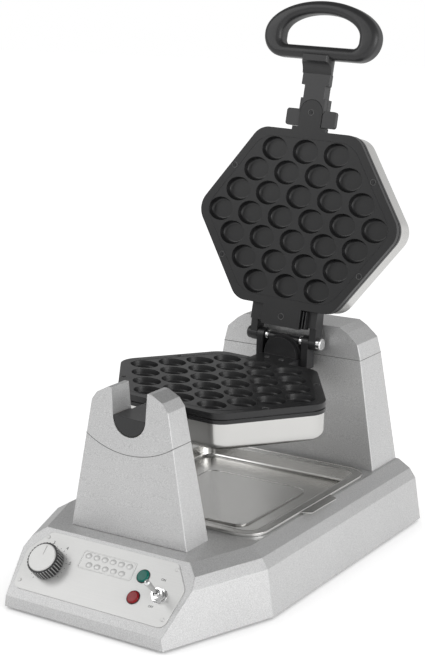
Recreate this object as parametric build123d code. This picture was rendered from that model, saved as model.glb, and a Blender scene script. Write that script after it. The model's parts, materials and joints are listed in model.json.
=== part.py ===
from build123d import *
import math
import os

# Bubble waffle maker on a cast base. Millimetres, +X to the user's right, +Y to the back,
# +Z up. The origin is on the table under the middle of the whole machine.

# Base housing
base_length = 426.0
machine_middle = 4.5
base_half_width = 136.5
front_half_width = 92.5
kink_from_front = 117.0
foot_height = 3.0
base_top = 67.0
lower_chamfer_z = 49.0
upper_chamfer_z = 58.6
lower_chamfer_inset = 6.9
upper_chamfer_inset = 13.9
top_inset = 27.7
strip_height = 11.3
panel_slope = 43.0
housing_wall = 3.0
ceiling_share = 0.8
boss_radius = 5.0
boss_rise = 12.0
boss_side_x = 118.0
boss_side_y = (-52.0, 150.0)
boss_front_x = 40.0
boss_front_inset = 20.0

# Bottom plate, feet and screws
bottom_plate_thick = 1.5
bottom_plate_gap = 0.5
bottom_plate_step = 1.6
foot_radius = 11.0
foot_recess_radius = 4.5
screw_radius = 2.0
screw_head_radius = 3.8
screw_head_height = 1.8
screw_bite = 7.0
foot_screw_bite = 3.0
foot_screw_low = 0.4
foot_edge = 0.8
foot_front_x = 68.0
foot_front_inset = 28.0
foot_rear_x = 112.0
foot_rear_inset = 24.0
front_bolt_x = 48.0
rear_bolt_x = 78.0
bolt_bite = 12.0
bolt_rib_height = 14.0
bolt_rib_reach = 40.0

# Front post
front_post_front = 74.3
front_post_depth = 37.0
front_post_half = 67.9
front_post_top = 211.5
front_post_top_half = 25.5
front_shoulder = (38.0, 205.0)
front_edge = (44.5, 196.5)
front_lean = 2.66
front_back_lean = 1.2
seam_radius = 94.0
seam_low = 148.5
front_post_wall = 5.0
front_hollow_front = 10.0
front_hollow_back = 7.0
slot_radius = 19.0
slot_flare = 1.8

# Rear post
rear_post_half = 105.4
rear_post_depth = 54.5
rear_post_top = 219.0
rear_post_top_half = 60.0
rear_shoulders = ((69.0, 213.6), (82.0, 202.5), (86.0, 187.4))
rear_lean = 1.8
rear_seam = 185.8
post_edge_round = 0.9
post_wall = 5.0

# Iron: turning axis, plates and shells
axis_height = 185.0
iron_y = 22.0
iron_tilt = 2.1
plate_point = 125.5
plate_flat = 94.5
plate_flat_half = 59.5
plate_corner = 22.0
plate_gap = 0.4
plate_thick = 6.0
groove_height = 1.2
groove_depth = 1.5
ring_thick = 5.0
ring_width = 5.0
ring_inner_corner = 16.0
rim_screw_inset = 7.4
rim_screw_shank = 1.8
rim_screw_head = 3.4
rim_screw_boss = 3.2
rim_screw_y = 49.25
rim_screw_sink = 0.6
rim_head_height = 2.0
shell_height = 28.0
shell_inset = 0.8
shell_round = 9.0
shell_wall = 1.2
block_inset = 6.0
block_corner = 14.0
block_depth = 15.0

# Cups: seven rows of oval wells with flat bottoms
cup_rows = (3, 4, 5, 6, 5, 4, 3)
cup_pitch = 38.0
cup_row_gap = 24.0
cup_half_length = 15.4
cup_half_width = 12.9
cup_depth = 6.8
cup_taper = 12.0
cup_round = 3.0

# Heating elements
element_radius = 3.5
element_ring = 62.0
element_drop = 21.0

# Hinge between the two halves
hinge_y = 128.2
hinge_z = 17.2
open_angle = 102.3
pin_radius = 4.0
running_gap = 0.05
knuckle_radius = 7.5
ear_inner = 24.0
ear_width = 8.0
arm_width = 8.0
side_gap = 0.5
pin_head_length = 5.0
pin_head_radius = 6.9
pin_head_round = 2.0
sleeve_wall = 0.5
yoke_thick = 8.0
yoke_arm_rise = 6.0
plate_clear = 0.4

# Rear trunnion and shaft
hub_radius = 20.0
hub_front = 117.6
hub_thick = 5.0
hub_back = 136.0
block_top = 11.5
shaft_radius = 10.0
bushing_radius = 14.0
bushing_flange = 18.0
bushing_flange_thick = 2.0
bushing_end = 12.0
shaft_tail = 4.0
spigot_radius = 7.0
spigot_length = 12.0
lug_low = 12.0
lug_base_top = 2.0
trunnion_screw_x = 9.0
trunnion_screw_y = 106.0
trunnion_screw_depth = 9.0
trunnion_pad_drop = 0.3
thin_head = 0.25
bushing_boss = 8.0
bushing_setback = 0.3

# Front journal, arm and handle
journal_radius = 18.2
saddle_wall = 2.2
saddle_length = 14.0
journal_back = 129.0
journal_front = 155.0
neck_half = 12.3
bracket_half = 30.0
bracket_reach = 117.0
tongue_half = 13.5
tongue_reach = 115.0
collar_half = 17.3
journal_neck_depth = 14.0
journal_pad_back = 6.0
collar_low = 10.0
collar_high = 14.0
collar_scoop = 14.0
collar_overlap = 4.0
bracket_corner = 3.0
bracket_drop = 0.8
bracket_gap = 4.5
bracket_rise = 14.0
bracket_side = 3.0
neck_rise = 13.0
tongue_room_gap = 0.3
lid_bar_length = 12.0
lid_bar_half = 16.5
lid_bar_rise = 16.0
lid_journal_gap = 0.4
handle_screw_tip = 12.0
grip_near = 170.0
grip_far = 231.0
grip_half = 68.5
grip_widest = 194.5
grip_corner = 23.5
grip_bar = 13.5
grip_side = 22.0
grip_hole_corner = 6.5
grip_thick = 20.0
grip_rise = 2.0
grip_round = 6.3

# Tongue of the upper plate at the hinge
hinge_tongue_half = 23.5
hinge_tongue_reach = 115.6
tongue_step_side = 7.0
tongue_step_reach = 4.0
tongue_screw_y = 105.0
tongue_screw_bite = 6.0
lid_screw_shank = 1.8
lid_screw_head = 3.4
lid_screw_sink = 2.6
overlap = 2.0

# Drip tray
tray_half_width = 106.0
tray_front = -78.0
tray_back = 151.0
tray_corner = 24.0
tray_rim = 10.0
tray_lip = 2.4
tray_depth = 15.0
tray_sheet = 1.0
tray_rest_gap = 0.3
tray_opening_gap = 1.5
tab_near = 4.0
tab_far = 65.0
tab_reach = 11.0
tab_taper = 6.0
pad_half_width = 61.0
pad_front = -31.0
pad_back = 96.0
pad_raise = 1.2
pad_corner = 12.0
pan_round = 5.0

# Control panel, in distances across (x) and up the slope from its lower edge (s)
plate_sheet = 1.0
plate_low_half = 88.0
plate_wide_half = 92.5
plate_high_half = 74.0
plate_low_s = 10.0
plate_wide_s = 50.0
plate_high_s = 73.5
plate_round = 8.0
knob_x = -60.5
knob_s = 40.5
knob_radius = 16.2
knob_face_radius = 14.4
knob_height = 14.0
knob_gap = 0.8
knob_ribs = 30
knob_rib_depth = 0.7
knob_cap = 1.5
knob_cap_edge = 0.6
knob_mark_half = 0.4
knob_mark_start = 3.0
knob_mark_depth = 0.4
knob_bore = 8.0
shaft_back = 14.0
thermostat_half = (16.0, 14.0)
thermostat_depth = 22.0
under_panel_gap = 0.2
shaft_pin_radius = 3.0
lamp_x = 44.5
lamp_green_s = 52.9
lamp_red_s = 30.9
lamp_radius = 6.3
lamp_hole_radius = 4.6
lamp_body_length = 16.0
lens_height = 2.2
lens_round = 1.6
toggle_x = 70.0
toggle_s = 38.5
nut_flats = 13.0
nut_height = 3.0
bush_radius = 5.6
bush_height = 7.0
bush_bore = 3.6
switch_half = (7.0, 13.0)
switch_depth = 18.0
pivot_below_bush = 2.5
lever_length = 22.5
lever_root_radius = 1.7
lever_tip_radius = 2.9
rivet_radius = 1.9
rivet_height = 0.8
rivet_edge = 0.4
rivet_places = ((-75.5, 67.0), (75.5, 67.0), (-83.5, 18.0), (83.5, 18.0))

# Terminal block and rear inlet
terminal_half = (22.0, 6.0)
terminal_height = 10.0
terminal_place = (20.0, 62.0)
terminal_pitch = 11.0
terminal_hole = 2.2
terminal_floor = 4.0
gland_x = 60.0
gland_z = 24.0
gland_radius = 9.0
gland_hole = 7.0
gland_flange = 3.0
gland_nose = 5.2
gland_bore = 3.6
gland_length = 9.0

half_length = base_length / 2
front_y = -half_length
back_y = half_length
front_post_y = front_y + front_post_front
rear_post_y = back_y - rear_post_depth
kink_y = front_y + kink_from_front
side_angle = math.atan2(base_half_width - front_half_width, kink_from_front)
strip_top = foot_height + strip_height
slope = math.radians(panel_slope)
half_gap = plate_gap / 2
ring_top = half_gap + plate_thick + groove_height
shell_top = ring_top + ring_thick - groove_height
iron_depth = shell_top + shell_height
bottom_plate_top = foot_height + bottom_plate_step + bottom_plate_thick

iron_place = Pos(0, iron_y, axis_height) * Rot(0, iron_tilt, 0)
lid_place = iron_place * Pos(0, hinge_y, hinge_z) * Rot(-open_angle, 0, 0) * Pos(0, -hinge_y, -hinge_z)
panel_place = Pos(0, front_y, strip_top) * Rot(panel_slope, 0, 0)


def prism(points, low, high):
    """Solid from a plan outline between two heights."""
    return Pos(0, 0, low) * extrude(make_face(Polyline(*points, close=True)), high - low)


def upright(points, near, far):
    """Solid from a front-view outline (x, z) between two y values."""
    wire = Polyline(*[(x, near, z) for x, z in points], close=True)
    return extrude(make_face(wire), far - near, dir=(0, 1, 0))


def sidewise(points, left, right):
    """Solid from a side-view outline (y, z) between two x values."""
    wire = Polyline(*[(left, y, z) for y, z in points], close=True)
    return extrude(make_face(wire), right - left, dir=(1, 0, 0))


def rod_x(radius, left, right, y=0.0, z=0.0):
    return Pos((left + right) / 2, y, z) * Rot(0, 90, 0) * Cylinder(radius, right - left)


def rod_y(radius, near, far, x=0.0, z=0.0):
    return Pos(x, (near + far) / 2, z) * Rot(90, 0, 0) * Cylinder(radius, far - near)


def rod_z(radius, low, high, x=0.0, y=0.0):
    return Pos(x, y, (low + high) / 2) * Cylinder(radius, high - low)


def block(left, right, near, far, low, high):
    centre = Pos((left + right) / 2, (near + far) / 2, (low + high) / 2)
    return centre * Box(right - left, far - near, high - low)


def rounded_box(half, near, far, corner, low, high):
    """Upright box with rounded corners in plan, centred on x = 0."""
    outline = Pos(0, (near + far) / 2) * RectangleRounded(2 * half, far - near, corner)
    return Pos(0, 0, low) * extrude(outline, high - low)


def placed(shape):
    """One piece, or a list of equal pieces, moved to where the whole machine stands."""
    shift = Pos(0, -machine_middle, 0)
    if isinstance(shape, list):
        return Compound(children=[shift * piece for piece in shape])
    return shift * shape


# Base housing


def base_outline(inset):
    """Plan outline of the base, drawn in by an inset on its long and angled sides."""
    side = base_half_width - inset
    kink = kink_y + inset * math.tan(side_angle / 2)
    front = front_half_width - inset / math.cos(side_angle)
    return [(front, front_y), (side, kink), (side, back_y), (-side, back_y), (-side, kink), (-front, front_y)]


def ruled_layer(low_inset, low, high_inset, high, back_cut=0.0):
    outlines = []
    for inset, z in ((low_inset, low), (high_inset, high)):
        points = [(x, min(y, back_y - back_cut), z) for x, y in base_outline(inset)]
        outlines.append(make_face(Polyline(*points, close=True)))
    return loft(outlines, ruled=True)


def base_body(wall=0.0):
    """The outer form of the base, or with a wall the form of its hollow."""
    low = foot_height if wall == 0 else foot_height - 1
    layers = ((0.0, low), (lower_chamfer_inset, lower_chamfer_z), (upper_chamfer_inset, upper_chamfer_z),
              (top_inset, base_top))
    drop = wall * ceiling_share
    body = None
    for (inset_a, z_a), (inset_b, z_b) in zip(layers, layers[1:]):
        z_low = z_a if z_a == low else z_a - drop
        z_high = z_b - drop if z_b < base_top else z_b - wall
        layer = ruled_layer(inset_a + wall, z_low, inset_b + wall, z_high, wall)
        body = layer if body is None else body + layer
    cut_start = front_y + wall / math.sin(slope)
    rise = base_top + 10 - strip_top
    nose = [(cut_start - 80, strip_top - 80 * math.tan(slope)),
            (cut_start + rise / math.tan(slope), base_top + 10),
            (cut_start - 80, base_top + 10)]
    body -= sidewise(nose, -base_half_width, base_half_width)
    if wall > 0:
        body &= block(-base_half_width, base_half_width, front_y + wall, back_y, 0, base_top)
    return body


def foot_places():
    near = front_y + foot_front_inset
    far = back_y - foot_rear_inset
    return [(-foot_front_x, near), (foot_front_x, near), (-foot_rear_x, far), (foot_rear_x, far)]


def boss_places():
    places = [(side * boss_side_x, y) for y in boss_side_y for side in (-1, 1)]
    return places + [(side * boss_front_x, front_y + boss_front_inset) for side in (-1, 1)]


def post_bolt_places():
    front = front_post_y + front_post_depth / 2
    rear = back_y - rear_post_depth / 2
    return [(-front_bolt_x, front), (front_bolt_x, front), (-rear_bolt_x, rear), (rear_bolt_x, rear)]


def panel_hole(radius, x, s):
    return panel_place * Pos(x, s, 0) * Cylinder(radius, 6 * housing_wall)


def make_base_housing():
    body = base_body() - base_body(housing_wall)
    for x, y in boss_places():
        ceiling = strip_top + boss_rise if y < front_post_y else base_top
        boss = rod_z(boss_radius, bottom_plate_top, ceiling, x, y) & base_body()
        body += boss
        body -= rod_z(screw_radius, bottom_plate_top - 1, bottom_plate_top + screw_bite + 1, x, y)
    opening_half = tray_half_width - tray_rim + tray_opening_gap
    body -= rounded_box(opening_half, tray_front + tray_rim - tray_opening_gap,
                        tray_back - tray_rim + tray_opening_gap, tray_corner - tray_rim + tray_opening_gap,
                        base_top - 2 * housing_wall, base_top + 1)
    body -= panel_hole(shaft_pin_radius + 1, knob_x, knob_s)
    body -= panel_hole(lamp_hole_radius, lamp_x, lamp_green_s)
    body -= panel_hole(lamp_hole_radius, lamp_x, lamp_red_s)
    body -= panel_hole(bush_radius, toggle_x, toggle_s)
    for x, y in post_bolt_places():
        body -= rod_z(screw_radius, base_top - 2 * housing_wall, base_top + 1, x, y)
    body -= rod_y(gland_hole, back_y - 3 * housing_wall, back_y + 1, gland_x, gland_z)
    return body


def make_bottom_plate():
    inset = housing_wall + bottom_plate_gap
    near = front_y + inset
    far = back_y - inset
    points = [(x, min(max(y, near), far)) for x, y in base_outline(inset + 1.0)]
    plate = prism(points, bottom_plate_top - bottom_plate_thick, bottom_plate_top)
    for x, y in boss_places():
        plate -= rod_z(screw_radius, foot_height, bottom_plate_top + 1, x, y)
    for x, y in foot_places():
        plate -= rod_z(screw_radius, foot_height, bottom_plate_top + 1, x, y)
    return plate


def make_foot(x, y):
    top = bottom_plate_top - bottom_plate_thick
    foot = rod_z(foot_radius, 0, top, x, y)
    foot = chamfer(foot.edges().sort_by(Axis.Z)[0], foot_edge)
    foot -= rod_z(foot_recess_radius, -1, screw_head_height + foot_screw_low, x, y)
    foot -= rod_z(screw_radius, 0, top + 1, x, y)
    return foot


def screw_up(x, y, head_low, tip):
    """Screw with its head below, pointing up."""
    return rod_z(screw_head_radius, head_low, head_low + screw_head_height, x, y) + \
        rod_z(screw_radius, head_low, tip, x, y)


def make_foot_screws():
    return [screw_up(x, y, foot_screw_low, bottom_plate_top + foot_screw_bite) for x, y in foot_places()]


def make_bottom_screws():
    low = bottom_plate_top - bottom_plate_thick - screw_head_height
    return [screw_up(x, y, low, bottom_plate_top + screw_bite) for x, y in boss_places()]


def make_post_bolts():
    low = base_top - housing_wall - screw_head_height
    return [screw_up(x, y, low, base_top + bolt_bite) for x, y in post_bolt_places()]


# Posts


def add_bolt_ribs(body, form, places):
    """Ribs across a hollow post that its base bolts screw into."""
    for x, y in places:
        rib = block(x - boss_radius, x + boss_radius, y - bolt_rib_reach, y + bolt_rib_reach,
                    base_top, base_top + bolt_rib_height)
        body += rib & form
        body -= rod_z(screw_radius, base_top - 1, base_top + bolt_bite, x, y)
    return body


def mirrored_outline(right):
    """Closed outline from its right-hand points, listed from the bottom up."""
    return list(right) + [(-x, z) for x, z in reversed(right)]


def front_post_solid():
    outline = mirrored_outline([(front_post_half, base_top), front_edge, front_shoulder,
                                (front_post_top_half, front_post_top)])
    rise = front_post_top - base_top
    near = front_post_y
    far = front_post_y + front_post_depth
    side = [(near, base_top), (far, base_top),
            (far - rise * math.tan(math.radians(front_back_lean)), front_post_top),
            (near + rise * math.tan(math.radians(front_lean)), front_post_top)]
    post = upright(outline, near - 1, far + 1) & sidewise(side, -front_post_half, front_post_half)
    return fillet(post.edges().filter_by(lambda e: e.length > rise / 2), post_edge_round)


def slot_tool():
    """The U-shaped slot that the front journal drops into."""
    top = front_post_top + 1
    wide = slot_radius + slot_flare
    near = front_post_y - 1
    far = front_post_y + front_post_depth + 1
    outline = mirrored_outline([(slot_radius, axis_height), (wide, top)])
    walls = upright(outline, near, far)
    return walls + rod_y(slot_radius, near, far, 0, axis_height)


def saddle_span():
    middle = front_post_y + front_post_depth / 2
    return middle - saddle_length / 2, middle + saddle_length / 2


def saddle_solid(inner, outer):
    near, far = saddle_span()
    half_ring = rod_y(outer, near, far, 0, axis_height)
    if inner > 0:
        half_ring -= rod_y(inner, near - 1, far + 1, 0, axis_height)
    return half_ring - block(-outer - 1, outer + 1, near - 1, far + 1, axis_height, axis_height + outer + 1)


def seam_tool():
    reach = seam_low + seam_radius
    return rod_y(seam_radius, front_post_y - 1, front_post_y + front_post_depth + 1, 0, reach)


def front_post_hollow():
    """Room inside the lower body of the front post."""
    ceiling = seam_low - 2 * front_post_wall
    slim = front_post_half - front_post_wall
    run = (front_post_half - front_edge[0]) / (front_edge[1] - base_top)
    outline = mirrored_outline([(slim, base_top - 1), (slim - run * (ceiling - base_top), ceiling)])
    far = front_post_y + front_post_depth - front_hollow_back
    return upright(outline, front_post_y + front_hollow_front, far)


def make_front_post():
    post = front_post_solid() - slot_tool()
    journal_bed = journal_radius + running_gap + saddle_wall
    post -= saddle_solid(0, journal_bed)
    cap = post & seam_tool()
    body = post - seam_tool() - front_post_hollow()
    body = add_bolt_ribs(body, front_post_solid(), post_bolt_places()[:2])
    return body, cap


def make_front_saddle():
    inner = journal_radius + running_gap
    return saddle_solid(inner, inner + saddle_wall)


def rear_post_solid(wall=0.0):
    """Form of the rear post, or with a wall the form of its hollow."""
    low = base_top - 1 if wall else base_top
    right = [(rear_post_half - wall, low)]
    right += [(x - wall, z - wall) for x, z in reversed(rear_shoulders)]
    right += [(rear_post_top_half - wall, rear_post_top - wall)]
    drift = (rear_post_top - base_top) * math.tan(math.radians(rear_lean))
    near = rear_post_y + wall
    far = back_y - wall
    top = rear_post_top - wall
    side = [(near, low), (far, low), (far - drift, top), (near + drift, top)]
    form = upright(mirrored_outline(right), near - 10, far + 10)
    form &= sidewise(side, -rear_post_half, rear_post_half)
    if wall:
        return form
    rise = rear_post_top - base_top
    return fillet(form.edges().filter_by(lambda e: abs((e @ 1).Z - (e @ 0).Z) > rise / 2), post_edge_round)


def make_rear_post():
    form = rear_post_solid()
    post = form - rear_post_solid(post_wall)
    post += rod_y(bushing_radius + bushing_boss, rear_post_y - 5, back_y + 5, 0, axis_height) & form
    post = add_bolt_ribs(post, form, post_bolt_places()[2:])
    post -= rod_y(bushing_radius, rear_post_y - 1, back_y - bushing_end, 0, axis_height)
    post -= rod_y(bushing_flange, rear_post_y - 1, bushing_front() + bushing_flange_thick, 0, axis_height)
    top = block(-rear_post_half, rear_post_half, rear_post_y - 1, back_y + 1, rear_seam, rear_post_top + 1)
    return post - top, post & top


def bushing_front():
    """Where the bushing's flange starts, a little behind the leaning face."""
    rise = axis_height + bushing_flange - base_top
    return rear_post_y + rise * math.tan(math.radians(rear_lean)) + bushing_setback


def make_rear_bushing():
    near = bushing_front()
    far = back_y - bushing_end
    bushing = rod_y(bushing_radius, near, far, 0, axis_height)
    bushing += rod_y(bushing_flange, near, near + bushing_flange_thick, 0, axis_height)
    return bushing - rod_y(shaft_radius + running_gap, near - 1, far - 1, 0, axis_height)


# Plates, rings and shells of the iron. Each is drawn as the lower half, top face just
# under z = 0, in the iron's own frame; the lid's are turned over from these.


def hexagon(inset):
    """Six-sided outline with its flats to the front and back."""
    run = plate_point - plate_flat_half
    length = math.hypot(run, plate_flat)
    flat = plate_flat - inset
    point = plate_point - inset * length / plate_flat
    half = point - run * flat / plate_flat
    return [(point, 0), (half, flat), (-half, flat), (-point, 0), (-half, -flat), (half, -flat)]


def hexagon_slab(inset, low, high, corner=plate_corner):
    face = make_face(Polyline(*hexagon(inset), close=True))
    face = fillet(face.vertices(), corner)
    return Pos(0, 0, low) * extrude(face, high - low)


def cup_places():
    places = []
    for row, count in enumerate(cup_rows):
        y = (row - (len(cup_rows) - 1) / 2) * cup_row_gap
        for column in range(count):
            places.append(((column - (count - 1) / 2) * cup_pitch, y))
    return places


def cup_tool():
    """Oval well: sloping walls, rounded where they meet the flat bottom."""
    well = extrude(Ellipse(cup_half_length, cup_half_width), cup_depth, taper=cup_taper)
    well = fillet(well.faces().sort_by(Axis.Z)[-1].edges(), cup_round)
    return Pos(0, 0, -half_gap) * Rot(180, 0, 0) * well


def rim_screw_places():
    x = (plate_point + plate_flat_half) / 2 - rim_screw_inset
    y = rim_screw_y
    return [(x, y), (-x, y), (-x, -y), (x, -y)]


def rim_screws():
    head = half_gap + rim_screw_sink
    screws = []
    for x, y in rim_screw_places():
        screws.append(rod_z(rim_screw_head, -head - rim_head_height, -head, x, y)
                      + rod_z(rim_screw_shank, -shell_top + 1, -head, x, y))
    return screws


def cast_plate():
    """Cooking plate with its cups and the thick block that they are sunk in."""
    plate = hexagon_slab(0, -half_gap - plate_thick, -half_gap)
    plate += hexagon_slab(block_inset, -block_depth, -half_gap - 1, block_corner)
    tool = cup_tool()
    plate -= [Pos(x, y, 0) * tool for x, y in cup_places()]
    for x, y in rim_screw_places():
        plate -= rod_z(rim_screw_head, -half_gap - rim_screw_sink - rim_head_height, 1, x, y)
        plate -= rod_z(rim_screw_shank, -half_gap - plate_thick - 1, 1, x, y)
        plate -= rod_z(rim_screw_boss + plate_clear, -block_depth - 1, -half_gap - plate_thick, x, y)
    return plate


def ring_frame():
    """Frame under the plate's rim, with the groove between the two."""
    ring = hexagon_slab(0, -shell_top, -ring_top)
    ring += hexagon_slab(groove_depth, -ring_top, -half_gap - plate_thick)
    ring -= hexagon_slab(ring_width, -shell_top - 1, 0, ring_inner_corner)
    for x, y in rim_screw_places():
        ring += rod_z(rim_screw_boss, -shell_top, -half_gap - plate_thick, x, y)
        ring -= rod_z(rim_screw_shank, -shell_top + 1, 0, x, y)
    return ring


def shell_pan():
    outer = hexagon_slab(shell_inset, -iron_depth, -shell_top)
    outer = fillet(outer.faces().sort_by(Axis.Z)[0].edges(), shell_round)
    inner = hexagon_slab(shell_inset + shell_wall, -iron_depth + shell_wall, -shell_top + 1,
                         plate_corner - shell_wall)
    inner = fillet(inner.faces().sort_by(Axis.Z)[0].edges(), shell_round - shell_wall)
    return outer - inner


def element_ring_solid():
    return Pos(0, 0, -element_drop) * Torus(element_ring, element_radius)


# Lower half's journal, trunnion and hinge


def make_front_journal():
    """Half-round bar that turns in the front post, with its neck and pad under the plate."""
    bar = rod_y(journal_radius, -journal_front, -journal_back)
    bar -= block(-20, 20, -journal_front - 1, -journal_back + 1, -half_gap, 20)
    neck = block(-neck_half, neck_half, -journal_back, -plate_flat, -journal_neck_depth, -half_gap)
    pad = block(-tongue_half, tongue_half, -bracket_reach + journal_pad_back, -plate_flat,
                -shell_top, -half_gap)
    return bar + neck + pad


def ear_outline():
    """Side outline of one hinge ear, rounded about the pin."""
    near = hinge_y - knuckle_radius
    far = hinge_y + knuckle_radius
    return [(near, -lug_low), (far, -lug_low), (far, hinge_z), (near, hinge_z)]


def make_rear_trunnion():
    """Hub disc, block and ears behind the lower plate."""
    hub = rod_y(hub_radius, hub_front, hub_front + hub_thick)
    core = rod_y(hub_radius, hub_front, hub_back)
    core &= block(-40, 40, 0, 200, -40, block_top)
    base_half = ear_inner + ear_width
    base = block(-base_half, base_half, hinge_y - knuckle_radius, hub_back, -lug_low, -lug_base_top)
    pad = block(-hinge_tongue_half, hinge_tongue_half, plate_flat, hub_front, -shell_top,
                -half_gap - trunnion_pad_drop)
    body = hub + core + base + pad
    for side in (-1, 1):
        left = side * ear_inner if side > 0 else -ear_inner - ear_width
        ear = sidewise(ear_outline(), left, left + ear_width)
        ear += rod_x(knuckle_radius, left, left + ear_width, hinge_y, hinge_z)
        body += ear
    body -= rod_x(pin_radius, -60, 60, hinge_y, hinge_z)
    for x in (-trunnion_screw_x, trunnion_screw_x):
        body -= rod_z(rim_screw_shank, -trunnion_screw_depth, 5, x, trunnion_screw_y)
    body -= rod_y(spigot_radius, hub_back - spigot_length, hub_back + 1)
    return body


def make_trunnion_screws():
    screws = []
    low = -half_gap - trunnion_pad_drop
    for x in (-trunnion_screw_x, trunnion_screw_x):
        screws.append(rod_z(rim_screw_shank, -trunnion_screw_depth, low, x, trunnion_screw_y)
                      + rod_z(rim_screw_boss, low, low + thin_head, x, trunnion_screw_y))
    return screws


def make_rotor_shaft():
    """Shaft through the rear bushing, with a spigot into the trunnion."""
    far = back_y - bushing_end - iron_y - shaft_tail
    return rod_y(shaft_radius, hub_back, far) + rod_y(spigot_radius, hub_back - spigot_length, hub_back)


def make_hinge_pin():
    half = ear_inner + ear_width + side_gap + arm_width + side_gap
    return rod_x(pin_radius, -half, half, hinge_y, hinge_z)


def make_pin_head(side):
    """Domed chrome head on one end of the hinge pin."""
    start = ear_inner + ear_width + side_gap + arm_width + side_gap
    head = rod_x(pin_head_radius, start, start + pin_head_length, hinge_y, hinge_z)
    outer = head.edges().filter_by(GeomType.CIRCLE).sort_by(Axis.X)[-1]
    head = fillet(outer, pin_head_round)
    return head if side > 0 else mirror(head, Plane.YZ)


def make_pin_sleeve():
    """Chrome sleeve on the pin between the ears."""
    half = ear_inner - trunnion_pad_drop
    sleeve = rod_x(pin_radius + sleeve_wall, -half, half, hinge_y, hinge_z)
    return sleeve - rod_x(pin_radius, -half - 1, half + 1, hinge_y, hinge_z)


# Lid: drawn closed over the lower half


def turned_over(solid):
    return Rot(180, 0, 0) * solid


def make_upper_plate():
    plate = turned_over(cast_plate())
    low = half_gap
    high = half_gap + plate_thick
    tongue = block(-tongue_half, tongue_half, -tongue_reach + 1, -plate_flat + overlap, low, high)
    tongue += rod_z(tongue_half, low, high, 0, -tongue_reach + 1)
    step_half = tongue_half + tongue_step_side
    step = block(-step_half, step_half, -plate_flat - tongue_step_reach, -plate_flat + overlap, low, high)
    plate += tongue + step
    plate += block(-hinge_tongue_half, hinge_tongue_half, plate_flat - overlap, hinge_tongue_reach, low, high)
    for y in (-tongue_reach + 1, tongue_screw_y):
        plate -= rod_z(lid_screw_shank, -1, high + 1, 0, y)
        plate -= rod_z(lid_screw_head, -1, low + lid_screw_sink, 0, y)
    return plate


def lid_screw(y, tip):
    low = half_gap + rim_screw_sink
    return rod_z(lid_screw_head, low, low + rim_head_height, 0, y) + rod_z(lid_screw_shank, low, tip, 0, y)


def make_handle_bracket():
    """Winged bracket behind the plate's tongue, with the neck and upper half journal."""
    plate_back = half_gap + plate_thick
    wings = block(-bracket_half, bracket_half, -bracket_reach, -plate_flat - bracket_gap,
                  half_gap + bracket_drop, plate_back)
    wings = fillet(wings.edges().filter_by(Axis.Z), bracket_corner)
    stem_half = tongue_half + 1.5
    wings += block(-stem_half, stem_half, -journal_back, -bracket_reach + bracket_corner, half_gap, plate_back)
    room_half = tongue_half + tongue_room_gap
    tongue_room = block(-room_half, room_half, -tongue_reach + 1, 0, -1, plate_back)
    tongue_room += rod_z(room_half, -1, plate_back, 0, -tongue_reach + 1)
    wings -= tongue_room
    back_half = neck_half + bracket_side
    back = block(-back_half, back_half, -journal_back, -plate_flat - 0.5, plate_back, bracket_rise)
    bar_back = -journal_front + lid_bar_length
    neck = block(-neck_half, neck_half, bar_back, -journal_back, half_gap, neck_rise)
    bar = rod_y(journal_radius - lid_journal_gap, -journal_front, bar_back)
    bar &= block(-lid_bar_half, lid_bar_half, -journal_front - 1, bar_back + 1, half_gap, lid_bar_rise)
    body = wings + back + neck + bar
    body -= rod_z(lid_screw_shank, 0, handle_screw_tip, 0, -tongue_reach + 1)
    return body


def make_handle_collar(grip):
    """Socket between the arm and the grip, cut to sit against the grip's bar."""
    near = -grip_near - collar_overlap
    far = -journal_front
    collar = rod_y(collar_half, near, far)
    collar &= block(-collar_half, collar_half, near, far, -collar_low, collar_high)
    scoop = rod_x(collar_scoop, -2 * collar_half, 2 * collar_half, far + 1, -collar_scoop)
    return collar - scoop - grip


def grip_outline(half, near, far, corner):
    """Flat D: half an ellipse closed by a straight bar with rounded corners."""
    dome = Pos(0, -grip_widest) * Ellipse(half, far - grip_widest)
    dome &= Pos(0, -grip_widest - far / 2) * Rectangle(4 * half, far)
    outline = dome + Pos(0, -(near + grip_widest) / 2) * Rectangle(2 * half, grip_widest - near)
    return fillet(outline.vertices().sort_by(Axis.Y)[-2:], corner)


def make_handle_grip():
    outer = grip_outline(grip_half, grip_near, grip_far, grip_corner)
    hole = grip_outline(grip_half - grip_side, grip_near + grip_bar, grip_far - grip_bar, grip_hole_corner)
    grip = Pos(0, 0, grip_rise - grip_thick / 2) * extrude(outer - hole, grip_thick)
    rims = grip.edges().filter_by(lambda e: abs((e @ 0).Z - (e @ 1).Z) < 0.01)
    return fillet(rims, grip_round)


def make_hinge_yoke():
    """Cross bar behind the tongue and the two arms that carry the knuckles."""
    back = half_gap + plate_thick
    bar_top = back + yoke_thick
    inner = ear_inner + ear_width + side_gap
    outer = inner + arm_width
    start = plate_flat + plate_clear
    yoke = block(-outer, outer, start, hinge_tongue_reach - 3, back, bar_top)
    for side in (-1, 1):
        left = inner if side > 0 else -outer
        arm = sidewise([(start, back), (hinge_y - 2, hinge_z - knuckle_radius + plate_clear),
                        (hinge_y, hinge_z + knuckle_radius - 0.1), (start, bar_top + yoke_arm_rise)],
                       left, left + arm_width)
        arm += rod_x(knuckle_radius, left, left + arm_width, hinge_y, hinge_z)
        yoke += arm
    yoke -= rod_x(pin_radius + running_gap, -60, 60, hinge_y, hinge_z)
    yoke -= rod_z(lid_screw_shank, 0, back + tongue_screw_bite, 0, tongue_screw_y)
    return yoke


# Drip tray


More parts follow.
